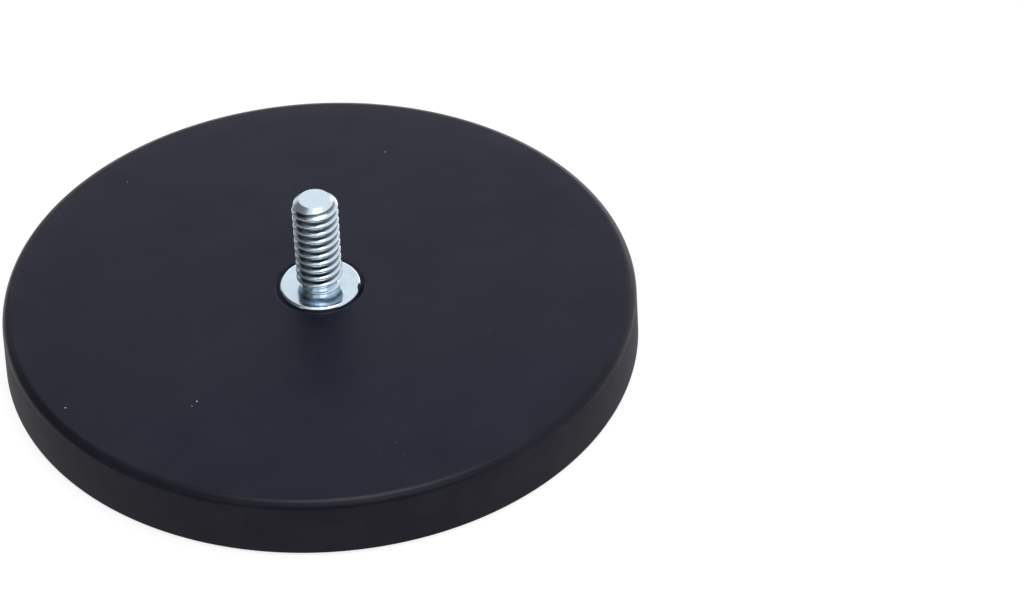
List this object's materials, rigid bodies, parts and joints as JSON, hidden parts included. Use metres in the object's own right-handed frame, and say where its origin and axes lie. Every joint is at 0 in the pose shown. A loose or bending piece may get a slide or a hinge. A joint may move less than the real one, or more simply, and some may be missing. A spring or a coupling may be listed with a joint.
{
  "type": "pot magnet",
  "caption": "Flat round magnet with a moulded rubber cover, and a threaded stud with a round flange in the middle of its back.",
  "frame": {"origin": "centre of the plane that the holding face rests on", "axes": "+Z along the stud, away from the holding face"},
  "size_m": [0.088, 0.088, 0.0235],
  "materials": {
    "cover_rubber": "satin",
    "zinc_plated_steel": "satin",
    "plate_steel": "satin",
    "magnet_plating": "gloss"
  },
  "bodies": {
    "root": {"rubber_cover": "cover_rubber", "threaded_stud": "zinc_plated_steel", "steel_plate": "plate_steel", "magnet_01": "magnet_plating", "magnet_02": "magnet_plating", "magnet_03": "magnet_plating", "magnet_04": "magnet_plating", "magnet_05": "magnet_plating", "magnet_06": "magnet_plating", "magnet_07": "magnet_plating", "magnet_08": "magnet_plating", "magnet_09": "magnet_plating", "magnet_10": "magnet_plating", "magnet_11": "magnet_plating", "magnet_12": "magnet_plating"}
  },
  "joints": []
}
